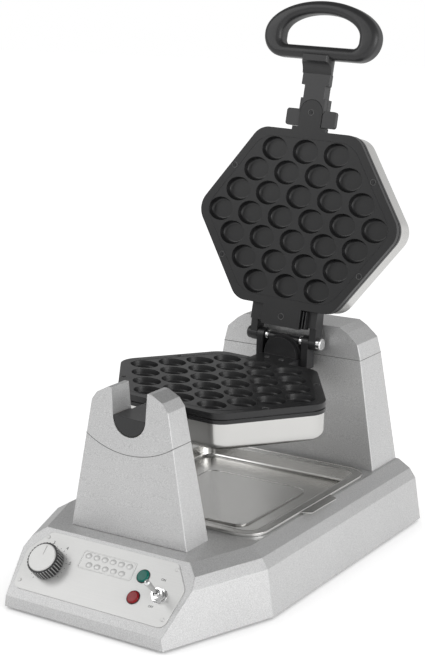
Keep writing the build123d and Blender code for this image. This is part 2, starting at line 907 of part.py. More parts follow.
def make_drip_tray():
    top = base_top + tray_rest_gap + tray_lip
    rim = rounded_box(tray_half_width, tray_front, tray_back, tray_corner, top - tray_sheet, top)
    lip = rounded_box(tray_half_width, tray_front, tray_back, tray_corner, top - tray_lip, top)
    lip -= rounded_box(tray_half_width - tray_sheet, tray_front + tray_sheet, tray_back - tray_sheet,
                       tray_corner - tray_sheet, top - tray_lip - 1, top + 1)
    pan_corner = tray_corner - tray_rim
    pan = rounded_box(tray_half_width - tray_rim, tray_front + tray_rim, tray_back - tray_rim, pan_corner,
                      top - tray_depth, top)
    pan = fillet(pan.faces().sort_by(Axis.Z)[0].edges(), pan_round)
    room = rounded_box(tray_half_width - tray_rim - tray_sheet, tray_front + tray_rim + tray_sheet,
                       tray_back - tray_rim - tray_sheet, pan_corner - tray_sheet,
                       top - tray_depth + tray_sheet, top + 1)
    room = fillet(room.faces().sort_by(Axis.Z)[0].edges(), pan_round - tray_sheet)
    floor = top - tray_depth
    pad = rounded_box(pad_half_width, pad_front, pad_back, pad_corner, floor + tray_sheet / 2,
                      floor + tray_sheet + pad_raise)
    return rim + lip + pan - room + pad


def make_tray_tab():
    """Finger tab on the right-hand rim."""
    top = base_top + tray_rest_gap + tray_lip
    edge = tray_half_width
    points = [(edge, tab_near), (edge + tab_reach, tab_near + tab_taper),
              (edge + tab_reach, tab_far - tab_taper), (edge, tab_far)]
    return prism(points, top - tray_sheet, top)


# Control panel, drawn flat: x across, y up the slope, z out of the panel


def make_control_plate():
    right = [(plate_low_half, plate_low_s), (plate_wide_half, plate_wide_s), (plate_high_half, plate_high_s)]
    face = make_face(Polyline(*mirrored_outline(right), close=True))
    face = fillet(face.vertices(), plate_round)
    plate = extrude(face, plate_sheet)
    plate -= Pos(knob_x, knob_s, 0) * Cylinder(shaft_pin_radius + 1, 6)
    plate -= Pos(lamp_x, lamp_green_s, 0) * Cylinder(lamp_hole_radius, 6)
    plate -= Pos(lamp_x, lamp_red_s, 0) * Cylinder(lamp_hole_radius, 6)
    plate -= Pos(toggle_x, toggle_s, 0) * Cylinder(bush_radius, 6)
    return panel_place * plate


def make_panel_rivets():
    rivets = []
    for x, s in rivet_places:
        head = rod_z(rivet_radius, plate_sheet, plate_sheet + rivet_height, x, s)
        rivets.append(panel_place * chamfer(head.edges().sort_by(Axis.Z)[-1], rivet_edge))
    return rivets


def make_knob_skirt():
    low = plate_sheet + knob_gap
    skirt = rod_z(knob_radius, low, low + knob_height - knob_cap)
    for index in range(knob_ribs):
        angle = 2 * math.pi * index / knob_ribs
        x = knob_radius * math.cos(angle)
        y = knob_radius * math.sin(angle)
        skirt -= rod_z(knob_rib_depth, low - 1, low + knob_height, x, y)
    skirt -= rod_z(shaft_pin_radius, low - 1, low + knob_bore)
    return panel_place * Pos(knob_x, knob_s, 0) * skirt


def make_knob_face():
    low = plate_sheet + knob_gap + knob_height - knob_cap
    top = low + knob_cap
    face = rod_z(knob_face_radius, low, top)
    face = chamfer(face.edges().sort_by(Axis.Z)[-1], knob_cap_edge)
    face -= block(-knob_mark_half, knob_mark_half, knob_mark_start, knob_face_radius - 1,
                  top - knob_mark_depth, top + 1)
    return panel_place * Pos(knob_x, knob_s, 0) * face


def make_knob_shaft():
    shaft = rod_z(shaft_pin_radius, -shaft_back, plate_sheet + knob_gap + knob_bore)
    return panel_place * Pos(knob_x, knob_s, 0) * shaft


def make_thermostat():
    across, along = thermostat_half
    body = block(-across, across, -along, along, -housing_wall - thermostat_depth,
                 -housing_wall - under_panel_gap)
    body -= rod_z(shaft_pin_radius + running_gap, -shaft_back - 0.5, 0)
    return panel_place * Pos(knob_x, knob_s, 0) * body


def make_lamp_lens(s):
    lens = rod_z(lamp_radius, plate_sheet, plate_sheet + lens_height)
    lens = fillet(lens.edges().sort_by(Axis.Z)[-1], lens_round)
    return panel_place * Pos(lamp_x, s, 0) * lens


def make_lamp_body(s):
    body = rod_z(lamp_hole_radius, plate_sheet - lamp_body_length, plate_sheet)
    return panel_place * Pos(lamp_x, s, 0) * body


def make_toggle_body():
    """Switch case below the panel with its threaded bush through it."""
    across, along = switch_half
    case = block(-across, across, -along, along, -housing_wall - switch_depth,
                 -housing_wall - under_panel_gap)
    case += rod_z(bush_radius, -housing_wall - 1, plate_sheet + bush_height)
    case -= rod_z(bush_bore + running_gap, -6, 20)
    return panel_place * Pos(toggle_x, toggle_s, 0) * case


def make_toggle_nut():
    nut = extrude(RegularPolygon(nut_flats / 2, 6, major_radius=False), nut_height)
    nut = Pos(0, 0, plate_sheet) * nut - rod_z(bush_radius, 0, 20)
    return panel_place * Pos(toggle_x, toggle_s, 0) * nut


def toggle_pivot():
    return plate_sheet + bush_height - pivot_below_bush


def make_toggle_lever():
    pivot = toggle_pivot()
    lever = Pos(0, 0, pivot) * Sphere(bush_bore)
    lever += Pos(0, 0, pivot + lever_length / 2) * Cone(lever_root_radius, lever_tip_radius, lever_length)
    lever += Pos(0, 0, pivot + lever_length) * Sphere(lever_tip_radius)
    return panel_place * Pos(toggle_x, toggle_s, 0) * lever


# Inside and at the back of the base


def make_terminal_block():
    across, along = terminal_half
    strip = block(-across, across, -along, along, 0, terminal_height)
    for index in range(4):
        x = (index - 1.5) * terminal_pitch
        strip -= rod_z(terminal_hole, terminal_floor, terminal_height + 2, x, 0)
    return Pos(terminal_place[0], front_y + terminal_place[1], bottom_plate_top) * strip


def make_cord_gland():
    flange = back_y + gland_flange
    gland = rod_y(gland_hole, back_y - housing_wall - gland_flange, back_y, gland_x, gland_z)
    gland += rod_y(gland_radius, back_y, flange, gland_x, gland_z)
    nose = Cone(gland_hole, gland_nose, gland_length - gland_flange)
    gland += Pos(gland_x, (flange + back_y + gland_length) / 2, gland_z) * Rot(-90, 0, 0) * nose
    return gland - rod_y(gland_bore, back_y - half_length, back_y + half_length, gland_x, gland_z)


def build():
    front_body, front_cap = make_front_post()
    rear_body, rear_cap = make_rear_post()
    plate = cast_plate()
    ring = ring_frame()
    shell = shell_pan()
    element = element_ring_solid()
    screws = rim_screws()
    grip = make_handle_grip()
    nodes = {
        "base_housing": make_base_housing(),
        "base_bottom_plate": make_bottom_plate(),
        "foot_screws": make_foot_screws(),
        "bottom_screws": make_bottom_screws(),
        "post_bolts": make_post_bolts(),
        "front_post_body": front_body,
        "front_post_cap": front_cap,
        "front_saddle": make_front_saddle(),
        "rear_post_body": rear_body,
        "rear_post_cap": rear_cap,
        "rear_bushing": make_rear_bushing(),
        "control_plate": make_control_plate(),
        "panel_rivets": make_panel_rivets(),
        "green_lamp_lens": make_lamp_lens(lamp_green_s),
        "green_lamp_body": make_lamp_body(lamp_green_s),
        "red_lamp_lens": make_lamp_lens(lamp_red_s),
        "red_lamp_body": make_lamp_body(lamp_red_s),
        "thermostat_body": make_thermostat(),
        "toggle_body": make_toggle_body(),
        "toggle_nut": make_toggle_nut(),
        "toggle_lever": make_toggle_lever(),
        "terminal_block": make_terminal_block(),
        "cord_gland": make_cord_gland(),
        "knob_skirt": make_knob_skirt(),
        "knob_face": make_knob_face(),
        "knob_shaft": make_knob_shaft(),
        "drip_tray": make_drip_tray(),
        "drip_tray_tab": make_tray_tab(),
        "lower_plate": iron_place * plate,
        "lower_ring": iron_place * ring,
        "lower_shell": iron_place * shell,
        "lower_element": iron_place * element,
        "lower_plate_screws": [iron_place * screw for screw in screws],
        "front_journal": iron_place * make_front_journal(),
        "rear_trunnion": iron_place * make_rear_trunnion(),
        "trunnion_screws": [iron_place * screw for screw in make_trunnion_screws()],
        "rotor_shaft": iron_place * make_rotor_shaft(),
        "hinge_pin": iron_place * make_hinge_pin(),
        "hinge_sleeve": iron_place * make_pin_sleeve(),
        "pin_head_right": iron_place * make_pin_head(1),
        "pin_head_left": iron_place * make_pin_head(-1),
        "upper_plate": lid_place * make_upper_plate(),
        "upper_ring": lid_place * turned_over(ring),
        "upper_shell": lid_place * turned_over(shell),
        "upper_element": lid_place * turned_over(element),
        "upper_plate_screws": [lid_place * turned_over(screw) for screw in screws],
        "tongue_screw": lid_place * lid_screw(tongue_screw_y, half_gap + plate_thick + tongue_screw_bite),
        "handle_screw": lid_place * lid_screw(-tongue_reach + 1, handle_screw_tip),
        "hinge_yoke": lid_place * make_hinge_yoke(),
        "handle_bracket": lid_place * make_handle_bracket(),
        "handle_collar": lid_place * make_handle_collar(grip),
        "handle_grip": lid_place * grip,
    }
    for index, (x, y) in enumerate(foot_places()):
        nodes["rubber_foot_%d" % (index + 1)] = make_foot(x, y)
    return nodes


os.makedirs("parts", exist_ok=True)
for name, solid in build().items():
    export_step(placed(solid), "parts/%s.step" % name)
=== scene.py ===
# %% [markdown]
# A bubble waffle maker, finished for its picture. The measured parts are already made in
# metres, so this lesson gives them surfaces and adds the small things that only the eye
# needs: rounded edges, printing, knurls and ribs. First the finished frame is loaded.

# %% Load the frame
import json
import math

import bmesh
import bpy
from mathutils import Matrix, Vector


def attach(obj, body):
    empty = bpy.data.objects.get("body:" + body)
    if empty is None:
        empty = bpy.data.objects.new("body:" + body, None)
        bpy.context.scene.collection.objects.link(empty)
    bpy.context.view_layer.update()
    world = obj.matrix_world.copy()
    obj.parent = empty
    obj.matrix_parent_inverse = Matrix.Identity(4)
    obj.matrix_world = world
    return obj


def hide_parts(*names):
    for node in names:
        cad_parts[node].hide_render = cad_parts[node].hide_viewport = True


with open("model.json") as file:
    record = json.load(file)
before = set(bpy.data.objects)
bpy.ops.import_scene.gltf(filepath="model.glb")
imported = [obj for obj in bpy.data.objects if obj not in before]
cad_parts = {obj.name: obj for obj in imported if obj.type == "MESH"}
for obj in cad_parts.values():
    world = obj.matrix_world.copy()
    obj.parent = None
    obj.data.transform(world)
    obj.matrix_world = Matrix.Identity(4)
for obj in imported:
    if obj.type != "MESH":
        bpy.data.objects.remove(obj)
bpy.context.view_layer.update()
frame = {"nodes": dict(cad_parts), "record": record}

# %% [markdown]
# Three places are used again and again: the sloped control panel, the lower half of the
# iron, which stands turned a little to the right, and the open lid. Each gets a matrix,
# so that a piece can be drawn flat and simple and then be put in place in one step.

# %% Places
MM = 0.001
SHIFT = -4.5
CENTRE_SHIFT = SHIFT * MM
PANEL_SLOPE = math.radians(43.0)
PANEL_EDGE = (0.0, -213.0 * MM + CENTRE_SHIFT, 14.3 * MM)
IRON_CENTRE = (0.0, 22.0 * MM + CENTRE_SHIFT, 185.0 * MM)
IRON_TILT = math.radians(2.1)
HINGE = Vector((0.0, 128.2 * MM, 17.2 * MM))
OPEN_ANGLE = math.radians(102.3)
panel_place = Matrix.Translation(PANEL_EDGE) @ Matrix.Rotation(PANEL_SLOPE, 4, "X")
iron_place = Matrix.Translation(IRON_CENTRE) @ Matrix.Rotation(IRON_TILT, 4, "Y")
lid_turn = Matrix.Translation(HINGE) @ Matrix.Rotation(-OPEN_ANGLE, 4, "X") @ Matrix.Translation(-HINGE)
lid_place = iron_place @ lid_turn
print("panel at", [round(v, 4) for v in panel_place.translation])

# %% [markdown]
# A surface pattern is arithmetic on numbers that change from point to point. Wiring that
# by hand hides the sum, so a small class stands for one number in a material and lets
# plain Python signs add the nodes. A second class holds the material being made.

# %% Shader arithmetic


class Amount:
    """One changing number in a material; plain signs add the nodes for the sum."""

    def __init__(self, finish, socket):
        self.finish = finish
        self.socket = socket

    def sum(self, operation, first, second):
        return self.finish.node("ShaderNodeMath", {"operation": operation}, {0: first, 1: second})

    def __add__(self, other):
        return self.sum("ADD", self, other)

    def __radd__(self, other):
        return self.sum("ADD", other, self)

    def __sub__(self, other):
        return self.sum("SUBTRACT", self, other)

    def __rsub__(self, other):
        return self.sum("SUBTRACT", other, self)

    def __mul__(self, other):
        return self.sum("MULTIPLY", self, other)

    def __rmul__(self, other):
        return self.sum("MULTIPLY", other, self)


class Finish:
    """A material with its surface shader, and one method that adds any node."""

    def __init__(self, name):
        self.material = bpy.data.materials.new(name)
        self.material.use_nodes = True
        self.tree = self.material.node_tree
        self.surface = self.tree.nodes["Principled BSDF"]
        self.place = self.node("ShaderNodeTexCoord", out="Object")

    def connect(self, target, value):
        if isinstance(value, Amount):
            self.tree.links.new(value.socket, target)
        else:
            target.default_value = value

    def node(self, kind, settings=None, inputs=None, out=0):
        made = self.tree.nodes.new(kind)
        for name, value in (settings or {}).items():
            if name == "stops":
                ramp = made.color_ramp.elements
                while len(ramp) < len(value):
                    ramp.new(1.0)
                for element, (position, colour) in zip(ramp, value):
                    element.position = position
                    element.color = colour
            else:
                setattr(made, name, value)
        for name, value in (inputs or {}).items():
            self.connect(made.inputs[name], value)
        return Amount(self, made.outputs[out])

    def noise(self, scale, detail=2.0, stretch=(1.0, 1.0, 1.0), turn=(0.0, 0.0, 0.0)):
        """Cloudy pattern; scale counts its spots per metre, stretch below 1 draws them out."""
        inputs = {"Vector": self.place, "Scale": stretch, "Rotation": turn}
        mapped = self.node("ShaderNodeMapping", None, inputs)
        return self.node("ShaderNodeTexNoise", None, {"Vector": mapped, "Scale": scale, "Detail": detail})

    def colours(self, factor, dark, light):
        """Two colours mixed by a factor."""
        settings = {"stops": [(0.0, (*dark, 1.0)), (1.0, (*light, 1.0))]}
        return self.node("ShaderNodeValToRGB", settings, {"Fac": factor})

    def bump(self, height, distance, strength=1.0, edge=0.0):
        """Small relief, on top of a slight rounding of every sharp edge."""
        inputs = {"Height": height, "Distance": distance, "Strength": strength}
        if edge:
            inputs["Normal"] = self.node("ShaderNodeBevel", {"samples": 4}, {"Radius": edge})
        return self.node("ShaderNodeBump", None, inputs)

    def set(self, **values):
        for name, value in values.items():
            self.connect(self.surface.inputs[name.replace("_", " ")], value)
        return self.material


print("shader helper ready")

# %% [markdown]
# The base and posts are cast metal under a silver paint with fine flakes. Flakes this
# small read as a soft speckle: a dense noise moves the colour and the roughness a little
# and lifts the surface by a few hundredths of a millimetre. The paint is mostly metal, so
# that its upright walls pick up the pale floor and its flat top the darker ceiling.

# %% Silver paint
FLAKES_PER_METRE = 1500.0
FLAKE_CONTRAST = 2.6


def silver_paint(name, dark, light):
    finish = Finish(name)
    flakes = finish.noise(FLAKES_PER_METRE, 4.0)
    clouds = finish.noise(14.0, 2.0)
    speckle = (flakes - 0.5) * FLAKE_CONTRAST + 0.4 + clouds * 0.2
    finish.set(Metallic=0.75)
    finish.set(Base_Color=finish.colours(speckle, dark, light))
    finish.set(Roughness=0.36 + flakes * 0.2)
    finish.set(Normal=finish.bump(flakes, 0.00005, 0.7, 0.0008))
    return finish.material


cast_paint = silver_paint("silver paint", (0.50, 0.50, 0.50), (0.80, 0.80, 0.80))
print("made", cast_paint.name)

# %% [markdown]
# The cooking plates wear a dark non-stick coat. It is nearly black, slightly rough and
# has a fine orange-peel grain, with a touch more shine where the coat is thick.

# %% Dark coats


def dark_coat(name, dark, light, roughness, grain, depth):
    finish = Finish(name)
    peel = finish.noise(grain, 3.0)
    clouds = finish.noise(22.0, 2.0)
    finish.set(Base_Color=finish.colours(peel * 0.5 + clouds * 0.5, dark, light))
    finish.set(Roughness=roughness + clouds * 0.12 - 0.06)
    finish.set(Normal=finish.bump(peel, depth, 0.5, 0.0005))
    return finish.material


nonstick = dark_coat("non-stick coat", (0.011, 0.011, 0.0115), (0.024, 0.024, 0.025), 0.36, 1500.0, 0.00003)
black_metal = dark_coat("satin black metal", (0.014, 0.014, 0.015), (0.03, 0.03, 0.031), 0.34, 900.0, 0.00002)
black_plastic = dark_coat("satin black plastic", (0.018, 0.018, 0.019), (0.034, 0.034, 0.035), 0.36, 1100.0,
                          0.00003)
grey_arm = dark_coat("dark grey arm", (0.035, 0.035, 0.036), (0.06, 0.06, 0.062), 0.4, 1300.0, 0.00003)
rubber = dark_coat("foot rubber", (0.02, 0.02, 0.02), (0.035, 0.035, 0.035), 0.8, 700.0, 0.00006)
print("made the dark coats")

# %% [markdown]
# Stainless sheet is brushed: thousands of fine scratches run one way and stretch every
# reflection across them. A noise squeezed along the brushing gives the scratches, which
# change the roughness and the relief and only faintly the colour.

# %% Bright metals


def brushed(name, dark, light, roughness, stretch, grain=900.0, depth=0.00001, metallic=1.0):
    finish = Finish(name)
    lines = finish.noise(grain, 3.0, stretch)
    clouds = finish.noise(18.0, 2.0)
    finish.set(Metallic=metallic)
    finish.set(Base_Color=finish.colours(lines * 0.6 + clouds * 0.4, dark, light))
    finish.set(Roughness=roughness + lines * 0.14)
    finish.set(Normal=finish.bump(lines, depth, 0.35, 0.0004))
    return finish.material


stainless = brushed("brushed stainless", (0.60, 0.595, 0.58), (0.70, 0.695, 0.68), 0.16, (0.02, 1.0, 1.0),
                    1600.0, 0.000004)
chrome = brushed("bright chrome", (0.72, 0.72, 0.72), (0.84, 0.84, 0.84), 0.04, (1.0, 1.0, 1.0), 400.0, 0.000004)
steel = brushed("plain steel", (0.38, 0.38, 0.38), (0.55, 0.55, 0.55), 0.26, (1.0, 0.05, 1.0))
bronze = brushed("bearing metal", (0.42, 0.34, 0.2), (0.6, 0.48, 0.3), 0.3, (1.0, 0.05, 1.0))
panel_silver = brushed("brushed panel", (0.70, 0.70, 0.69), (0.84, 0.84, 0.83), 0.34, (0.015, 1.0, 1.0),
                       1400.0, 0.00001, 0.4)
print("made the bright metals")

# %% [markdown]
# The lamps are tinted clear caps. Light that enters one comes back coloured, so a glossy
# deep colour with little white reflection reads as a lens in daylight.

# %% Lamp caps and terminal block


def lamp_cap(name, dark, light):
    finish = Finish(name)
    swirl = finish.noise(300.0, 1.0)
    finish.set(Base_Color=finish.colours(swirl, dark, light))
    finish.set(Roughness=0.16 + swirl * 0.08)
    finish.set(Specular_IOR_Level=0.35)
    return finish.material


green_lens = lamp_cap("green lamp cap", (0.0, 0.10, 0.08), (0.0, 0.20, 0.15))
red_lens = lamp_cap("red lamp cap", (0.22, 0.001, 0.004), (0.42, 0.008, 0.016))
block_white = dark_coat("pale terminal block", (0.62, 0.6, 0.55), (0.78, 0.76, 0.7), 0.4, 500.0, 0.00004)
slot_finish = {
    "cast_paint": cast_paint, "nonstick": nonstick, "stainless": stainless, "chrome": chrome, "steel": steel,
    "black_metal": black_metal, "black_plastic": black_plastic, "rubber": rubber, "bronze": bronze,
    "panel_silver": panel_silver, "green_lens": green_lens, "red_lens": red_lens, "ceramic": block_white,
}
print("finishes", len(slot_finish))

# %% [markdown]
# Every measured part takes the finish of its slot. A part that stays out of sight, such
# as the switch case, needs no more than that.

# %% Finish every node
slot_of = {part["node"]: part["material_slot"] for part in frame["record"]["subparts"]}
body_of = {}
for body, names in frame["record"]["behaviour"]["bodies"].items():
    for name in names:
        body_of[name] = body
for name, part in frame["nodes"].items():
    part.data.materials.clear()
    part.data.materials.append(slot_finish[slot_of[name]])
print("finished", len(frame["nodes"]), "nodes")

# %% [markdown]
# The measured parts have knife-sharp edges, and real ones never do: a cast edge or a
# folded sheet has a small radius that catches the light as a bright line. A copy of the
# part is merged, its flat triangles are joined into faces, and a narrow bevel is put on
# every edge that turns by more than a set angle. The angle is small for the cast parts,
# whose chamfer bands turn only a little. Weighted normals keep the large faces even.

# %% Rounded copies
MERGE_WITHIN = 0.002
FLAT_WITHIN = 0.5
SOFT_ANGLE = 40.0
CRISP_ANGLE = 7.0


def add_piece(mesh, name, body, slot, material=None):
    piece = bpy.data.objects.new(name, mesh)
    bpy.context.scene.collection.objects.link(piece)
    mesh.materials.clear()
    mesh.materials.append(material or slot_finish[slot])
    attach(piece, body)
    return piece


def piece_from(work, name, body, slot, material=None):
    """The piece that a finished bmesh makes."""
    mesh = bpy.data.meshes.new(name)
    work.to_mesh(mesh)
    work.free()
    return add_piece(mesh, name, body, slot, material)


def soften(piece, width):
    """A narrow bevel on the sharp edges of a small piece."""
    edge = piece.modifiers.new("edge", "BEVEL")
    edge.width = width * MM
    edge.segments = 2
    return piece


def rounded_copy(name, width, angle, material=None):
    work = bmesh.new()
    work.from_mesh(frame["nodes"][name].data)
    bmesh.ops.remove_doubles(work, verts=work.verts, dist=MERGE_WITHIN * MM)
    bmesh.ops.dissolve_limit(work, angle_limit=math.radians(FLAT_WITHIN), verts=work.verts, edges=work.edges,
                             delimit={"NORMAL"})
    for face in work.faces:
        face.smooth = True
    for edge in work.edges:
        edge.smooth = edge.calc_face_angle(0.0) < math.radians(angle)
    piece = piece_from(work, name + "_made", body_of[name], slot_of[name], material)
    if width:
        bevel = piece.modifiers.new("edge", "BEVEL")
        bevel.width = width * MM
        bevel.segments = 2
        bevel.limit_method = "ANGLE"
        bevel.angle_limit = math.radians(angle)
        bevel.harden_normals = True
        weighted = piece.modifiers.new("even shading", "WEIGHTED_NORMAL")
        weighted.keep_sharp = True
    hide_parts(name)


EDGE_WIDTHS = {
    "base_housing": 0.9, "front_post_body": 0.8, "front_post_cap": 0.8, "rear_post_body": 0.8,
    "rear_post_cap": 0.8, "front_saddle": 0.0, "drip_tray": 0.0, "drip_tray_tab": 0.25,
    "control_plate": 0.25, "panel_rivets": 0.0, "green_lamp_lens": 0.0, "red_lamp_lens": 0.0,
    "knob_skirt": 0.0, "knob_face": 0.0, "toggle_body": 0.2, "toggle_nut": 0.3, "toggle_lever": 0.0,
    "lower_plate": 0.45, "lower_ring": 0.5, "lower_shell": 0.0, "upper_plate": 0.45, "upper_ring": 0.5,
    "upper_shell": 0.0, "front_journal": 0.5, "rear_trunnion": 0.5, "hinge_yoke": 0.5,
    "handle_bracket": 0.5, "handle_collar": 0.5, "handle_grip": 0.0, "pin_head_right": 0.0,
    "pin_head_left": 0.0, "hinge_sleeve": 0.0, "rotor_shaft": 0.0, "tongue_screw": 0.2,
    "handle_screw": 0.2, "upper_plate_screws": 0.0, "lower_plate_screws": 0.0, "trunnion_screws": 0.0,
    "cord_gland": 0.3,
}
own_finish = {"handle_bracket": grey_arm, "panel_rivets": panel_silver, "hinge_sleeve": black_metal,
              "front_journal": black_metal}
CRISP = ("base_housing", "front_post_body", "front_post_cap", "rear_post_body", "rear_post_cap")
for name, width in EDGE_WIDTHS.items():
    rounded_copy(name, width, CRISP_ANGLE if name in CRISP else SOFT_ANGLE, own_finish.get(name))
print("rounded", len(EDGE_WIDTHS), "parts")

# %% [markdown]
# The control plate carries printing: ticks and plain numbers round the knob, and ON and
# OFF by the switch. Each is a letter outline given a hair's thickness, turned into a
# mesh, and laid on the plate by the panel's matrix.

# %% Printing on the control plate
# Ink for the printing; the same dark material is also used as painted shade in the screw and pin sockets.
ink_and_socket_shade = dark_coat("printing ink and socket shade", (0.012, 0.012, 0.013), (0.022, 0.022, 0.023), 0.5, 900.0, 0.000005)
INK_HEIGHT = 0.03
PLATE_TOP = 1.0
KNOB = (-60.5, 40.5)
DIAL_START = 240.0
NUMBER_STEP = 45.0
NUMBER_REACH = 23.0
NUMBER_SIZE = 4.6
TICK_STEP = 15.0
TICK_REACH = 19.0
TICK_COUNT = 19
TICK_WIDTH = 0.35
WORD_SIZE = 3.2


def printed(words, name, x, s, size):
    outline = bpy.data.curves.new(name, "FONT")
    outline.body = words
    outline.size = size * MM
    outline.extrude = INK_HEIGHT * MM
    outline.align_x = "CENTER"
    outline.align_y = "CENTER"
    holder = bpy.data.objects.new(name, outline)
    bpy.context.scene.collection.objects.link(holder)
    bpy.context.view_layer.update()
    mesh = bpy.data.meshes.new_from_object(holder)
    bpy.data.objects.remove(holder)
    mesh.transform(panel_place @ Matrix.Translation((x * MM, s * MM, (PLATE_TOP + INK_HEIGHT) * MM)))
    return add_piece(mesh, name, "base", "black_plastic", ink_and_socket_shade)


def bar(name, place, size, body, slot, material=None, turn=0.0, edge=0.0):
    """A small block with softened edges, centred on a place given by a matrix."""
    work = bmesh.new()
    bmesh.ops.create_cube(work, size=1.0)
    bmesh.ops.scale(work, vec=Vector(size) * MM, verts=work.verts)
    if edge:
        bmesh.ops.bevel(work, geom=work.edges[:], offset=edge * MM, offset_type="OFFSET", affect="EDGES",
                        segments=2, profile=0.5, material=-1)
    bmesh.ops.transform(work, matrix=place @ Matrix.Rotation(turn, 4, "Z"), verts=work.verts)
    return piece_from(work, name, body, slot, material)


def on_panel(x, s, height):
    return panel_place @ Matrix.Translation((x * MM, s * MM, height * MM))


for number in range(1, 6):
    angle = math.radians(DIAL_START - NUMBER_STEP * number)
    x = KNOB[0] + NUMBER_REACH * math.cos(angle)
    s = KNOB[1] + NUMBER_REACH * math.sin(angle)
    printed(str(number), "dial_number_%d" % number, x, s, NUMBER_SIZE)
for index in range(TICK_COUNT):
    angle = math.radians(DIAL_START - TICK_STEP * index)
    place = on_panel(KNOB[0] + TICK_REACH * math.cos(angle), KNOB[1] + TICK_REACH * math.sin(angle),
                     PLATE_TOP + INK_HEIGHT)
    length = 1.6 if index % 3 == 0 else 1.0
    size = (length, TICK_WIDTH, 2 * INK_HEIGHT)
    bar("dial_tick_%02d" % index, place, size, "base", "black_plastic", ink_and_socket_shade, angle)
printed("ON", "switch_on", 66.5, 54.5, WORD_SIZE)
printed("OFF", "switch_off", 66.0, 26.8, WORD_SIZE)
print("printed the dial and the switch words")

# %% [markdown]
# Between the knob and the lamps the plate has a raised frame. Here it holds a small
# pattern of ovals, like the cups, pressed up out of the sheet. The frame is a rectangle
# whose corners are rounded by a vertex bevel, then inset to a band and raised.

# %% Raised frame on the plate


def outline_band(name, corners, round_by, width, height, place, body, slot):
    """A raised band along a closed outline with rounded corners."""
    work = bmesh.new()
    work.faces.new([work.verts.new((x * MM, y * MM, 0.0)) for x, y in corners])
    bmesh.ops.bevel(work, geom=work.verts[:], offset=round_by * MM, offset_type="OFFSET", affect="VERTICES",
                    segments=6, profile=0.5, material=-1)
    face = work.faces[:][0]
    bmesh.ops.inset_region(work, faces=[face], thickness=width * MM, depth=0.0, use_even_offset=True,
                            use_boundary=True)
    bmesh.ops.delete(work, geom=[face], context="FACES_ONLY")
    raised = bmesh.ops.extrude_face_region(work, geom=work.faces[:])
    verts = [item for item in raised["geom"] if isinstance(item, bmesh.types.BMVert)]
    bmesh.ops.translate(work, vec=(0.0, 0.0, height * MM), verts=verts)
    bmesh.ops.recalc_face_normals(work, faces=work.faces[:])
    bmesh.ops.transform(work, matrix=place, verts=work.verts)
    return soften(piece_from(work, name, body, slot), min(width, height) * 0.3)


FRAME = ((-29.0, 45.0), (33.0, 45.0), (33.0, 63.5), (-29.0, 63.5))
outline_band("plate_frame", FRAME, 2.0, 1.0, 0.45, on_panel(0.0, 0.0, PLATE_TOP), "base", "panel_silver")


def pressed_oval(name, x, s, length, width, height):
    work = bmesh.new()
    bmesh.ops.create_uvsphere(work, u_segments=20, v_segments=10, radius=1.0)
    cut = work.verts[:] + work.edges[:] + work.faces[:]
    bmesh.ops.bisect_plane(work, geom=cut, plane_co=(0, 0, 0), plane_no=(0, 0, 1), clear_inner=True)
    rim = [edge for edge in work.edges if edge.is_boundary]
    bmesh.ops.contextual_create(work, geom=rim)
    bmesh.ops.scale(work, vec=(length / 2 * MM, width / 2 * MM, height * MM), verts=work.verts)
    bmesh.ops.recalc_face_normals(work, faces=work.faces[:])
    for face in work.faces:
        face.smooth = True
    bmesh.ops.transform(work, matrix=on_panel(x, s, PLATE_TOP), verts=work.verts)
    return piece_from(work, name, "base", "panel_silver")


OVAL_MIDDLE = 2.0
OVAL_TOP_ROW = 58.6
OVAL_PITCH = 9.6
OVAL_ROW_GAP = 8.6
OVAL_SIZE = (7.4, 5.8, 0.7)
for row, count in enumerate((6, 5)):
    for column in range(count):
        x = OVAL_MIDDLE + (column - (count - 1) / 2) * OVAL_PITCH
        pressed_oval("plate_oval_%d_%d" % (row, column), x, OVAL_TOP_ROW - OVAL_ROW_GAP * row, *OVAL_SIZE)
print("raised frame and ovals")

# %% [markdown]
# The knob's skirt is ribbed for grip, with bright ridges, and each lamp cap sits in a thin
# dark ring. The ridges are one small softened block, repeated round the skirt by a loop;
# the ring is a small circle spun round the lamp's middle.

# %% Knob ridges and lamp rings
SKIRT_RADIUS = 16.2
SKIRT_LOW = 1.8
SKIRT_HIGH = 14.0
RIDGES = 34
RIDGE_DEPTH = 0.9
RIDGE_WIDTH = 1.1
RIDGE_EDGE = 0.2
LAMP_X = 44.5
LAMP_RING = 6.5
SWITCH = (70.0, 38.5)


def knob_ridges():
    work = bmesh.new()
    for index in range(RIDGES):
        made = bmesh.ops.create_cube(work, size=1.0)
        size = Vector((RIDGE_DEPTH, RIDGE_WIDTH, SKIRT_HIGH - SKIRT_LOW))
        bmesh.ops.scale(work, vec=size * MM, verts=made["verts"])
        turn = Matrix.Rotation(2 * math.pi * (index + 0.5) / RIDGES, 4, "Z")
        lift = Matrix.Translation((SKIRT_RADIUS * MM, 0.0, (SKIRT_LOW + SKIRT_HIGH) / 2 * MM))
        bmesh.ops.transform(work, matrix=on_panel(*KNOB, 0.0) @ turn @ lift, verts=made["verts"])
    return soften(piece_from(work, "knob_ridges", "knob", "chrome", ridge_finish), RIDGE_EDGE)


